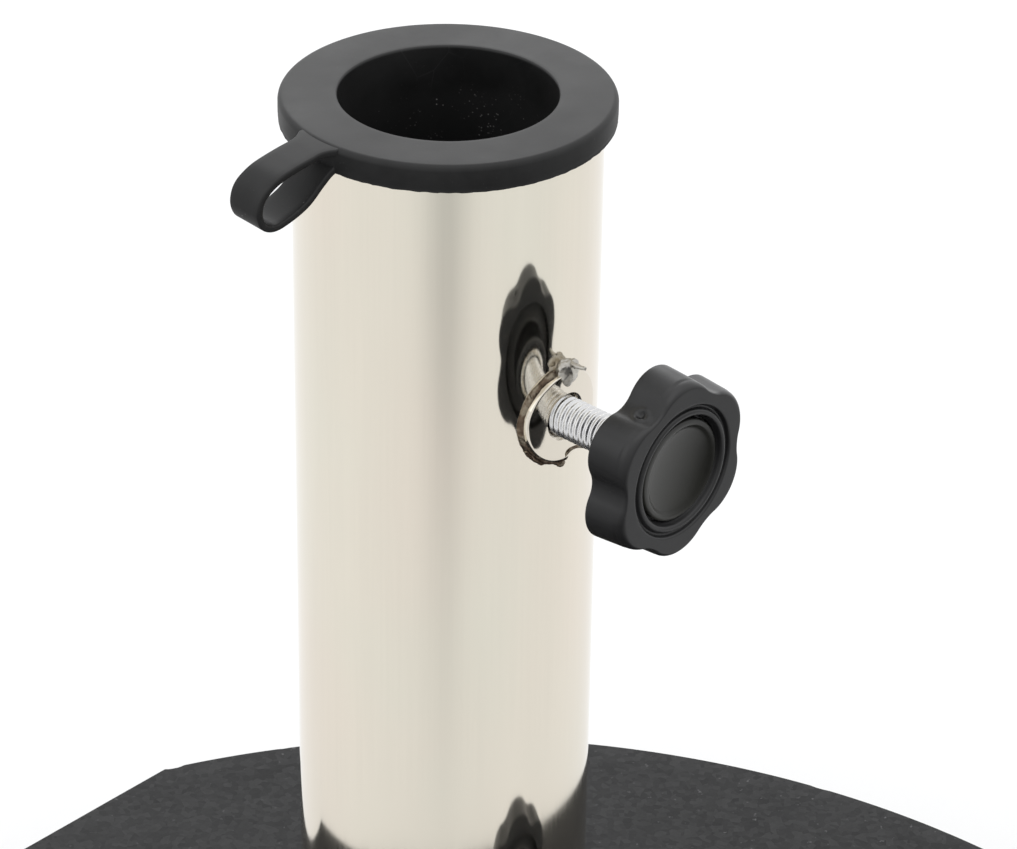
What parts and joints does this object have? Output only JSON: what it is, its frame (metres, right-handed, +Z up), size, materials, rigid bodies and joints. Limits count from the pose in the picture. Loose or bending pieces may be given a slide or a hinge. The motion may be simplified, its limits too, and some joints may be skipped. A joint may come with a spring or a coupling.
{
  "type": "parasol base",
  "caption": "Parasol base: round dark granite slab with one flat, polished steel pole tube, clamping screws with lobed knobs and a black reducer with a pull loop.",
  "frame": {"origin": "on the floor, at the centre of the footprint's bounding box; the pole axis is vertical at x = 0, y = 0.0155", "axes": "+Z up along the pole tube; -Y the way the clamping screws point; +Y the way the slab's flat faces; +X to the right seen from the screws' side"},
  "size_m": [0.4, 0.3822, 0.342],
  "materials": {
    "granite": "satin",
    "rubber": "matte",
    "polished_stainless": "polished",
    "plain_steel": "satin",
    "zinc_steel": "satin",
    "knob_plastic": "satin",
    "knob_cap_plastic": "satin",
    "reducer_plastic": "satin",
    "nylon": "satin"
  },
  "bodies": {
    "base": {"granite_slab": "granite", "foot_pad_front_right": "rubber", "foot_pad_front_left": "rubber", "foot_pad_rear_right": "rubber", "foot_pad_rear_left": "rubber", "anchor_washer": "zinc_steel", "spring_washer": "zinc_steel", "anchor_bolt": "zinc_steel", "pole_tube": "polished_stainless", "tube_foot_plug": "plain_steel", "upper_threaded_boss": "polished_stainless", "lower_threaded_boss": "polished_stainless"},
    "reducer": {"reducer": "reducer_plastic"},
    "upper_thrust": {"upper_thrust_pad": "nylon"},
    "upper_screw": {"upper_stud": "zinc_steel", "upper_hub_insert": "zinc_steel", "upper_knob": "knob_plastic", "upper_knob_cap": "knob_cap_plastic"},
    "lower_thrust": {"lower_thrust_pad": "nylon"},
    "lower_screw": {"lower_stud": "zinc_steel", "lower_hub_insert": "zinc_steel", "lower_knob": "knob_plastic", "lower_knob_cap": "knob_cap_plastic"}
  },
  "joints": [
    {"name": "reducer_lift", "type": "slide", "parent": "base", "child": "reducer", "axis": [0, 0, 1], "range_m": [0, 0.05]},
    {"name": "upper_screw_feed", "type": "slide", "parent": "base", "child": "upper_thrust", "axis": [0, -1, 0], "range_m": [-0.012, 0.006]},
    {"name": "upper_knob_turn", "type": "hinge", "parent": "upper_thrust", "child": "upper_screw", "pos_m": [0, 0.0155, 0.285], "axis": [0, -1, 0], "range_deg": [-3465, 1735]},
    {"name": "lower_screw_feed", "type": "slide", "parent": "base", "child": "lower_thrust", "axis": [0, -1, 0], "range_m": [-0.012, 0.006]},
    {"name": "lower_knob_turn", "type": "hinge", "parent": "lower_thrust", "child": "lower_screw", "pos_m": [0, 0.0155, 0.1615], "axis": [0, -1, 0], "range_deg": [-3465, 1735]}
  ],
  "couplings": [
    {"joint": "upper_knob_turn", "follows": "upper_screw_feed", "rad_per_m": 5026.5},
    {"joint": "lower_knob_turn", "follows": "lower_screw_feed", "rad_per_m": 5026.5}
  ]
}
